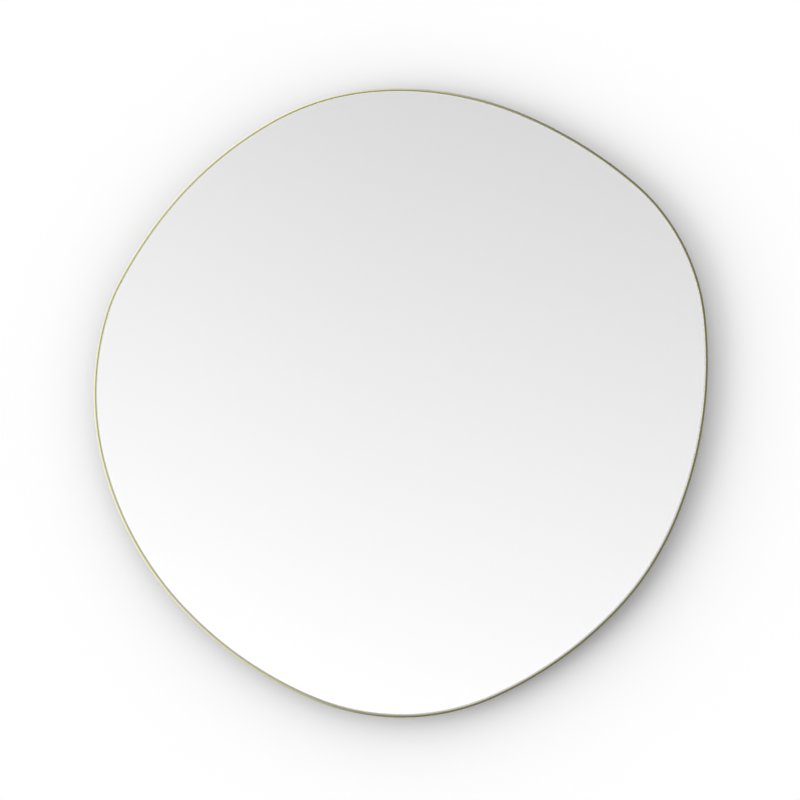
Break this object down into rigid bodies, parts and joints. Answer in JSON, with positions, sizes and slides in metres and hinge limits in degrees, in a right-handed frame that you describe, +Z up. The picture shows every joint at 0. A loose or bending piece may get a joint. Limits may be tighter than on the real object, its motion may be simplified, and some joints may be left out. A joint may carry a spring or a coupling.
{
  "type": "irregular wall mirror",
  "caption": "Pebble shaped wall mirror: flat silvered glass in a thin brass hoop, on a board with two swinging D ring hangers and rubber wall bumpers.",
  "frame": {"origin": "the point on the wall plane behind the middle of the mirror's outline", "axes": "+Z up, +X to the right as seen from the front, +Y into the wall, so the mirror faces -Y"},
  "size_m": [0.7805, 0.0255, 0.7993],
  "materials": {
    "brushed_brass": "satin brass, brushed along the hoop",
    "clear_glass": "polished 4 mm float glass with a fine arris",
    "silver": "silvered, with grey backing paint and film",
    "foam_tape": "white closed cell foam",
    "adhesive": "cured mirror adhesive",
    "mdf_board": "bare MDF, sealed",
    "brass_lug": "bent strip, dull, welded",
    "zinc_screw": "bright zinc plated",
    "nickel_strap": "nickel plated pressed strip",
    "nickel_wire": "nickel plated wire",
    "rubber_bumper": "moulded matt black",
    "zinc_washer": "zinc plated"
  },
  "bodies": {
    "mirror": {"frame_band": "brushed_brass", "mirror_glass": "clear_glass", "silver_backing": "silver", "backing_board": "mdf_board", "foam_tape_1": "foam_tape", "foam_tape_2": "foam_tape", "foam_tape_3": "foam_tape", "foam_tape_4": "foam_tape", "foam_tape_5": "foam_tape", "adhesive_bead_1": "adhesive", "adhesive_bead_2": "adhesive", "adhesive_bead_3": "adhesive", "adhesive_bead_4": "adhesive", "frame_lug_right": "brass_lug", "frame_lug_shoulder": "brass_lug", "frame_lug_crown": "brass_lug", "frame_lug_left": "brass_lug", "frame_lug_lower_left": "brass_lug", "frame_lug_foot": "brass_lug", "lug_screw_right": "zinc_screw", "lug_screw_shoulder": "zinc_screw", "lug_screw_crown": "zinc_screw", "lug_screw_left": "zinc_screw", "lug_screw_lower_left": "zinc_screw", "lug_screw_foot": "zinc_screw", "hanger_strap_left": "nickel_strap", "hanger_screw_left_upper": "zinc_screw", "hanger_screw_left_lower": "zinc_screw", "hanger_strap_right": "nickel_strap", "hanger_screw_right_upper": "zinc_screw", "hanger_screw_right_lower": "zinc_screw", "bumper_upper_left": "rubber_bumper", "bumper_washer_upper_left": "zinc_washer", "bumper_screw_upper_left": "zinc_screw", "bumper_upper_right": "rubber_bumper", "bumper_washer_upper_right": "zinc_washer", "bumper_screw_upper_right": "zinc_screw", "bumper_lower_left": "rubber_bumper", "bumper_washer_lower_left": "zinc_washer", "bumper_screw_lower_left": "zinc_screw", "bumper_lower_right": "rubber_bumper", "bumper_washer_lower_right": "zinc_washer", "bumper_screw_lower_right": "zinc_screw"},
    "left_ring": {"hanger_ring_left": "nickel_wire"},
    "right_ring": {"hanger_ring_right": "nickel_wire"}
  },
  "joints": [
    {"name": "left_ring_hinge", "type": "hinge", "parent": "mirror", "child": "left_ring", "pos_m": [-0.2, -0.007, 0.19], "axis": [-1, 0, 0], "range_deg": [-4, 178]},
    {"name": "right_ring_hinge", "type": "hinge", "parent": "mirror", "child": "right_ring", "pos_m": [0.2, -0.007, 0.19], "axis": [-1, 0, 0], "range_deg": [-4, 178]}
  ]
}
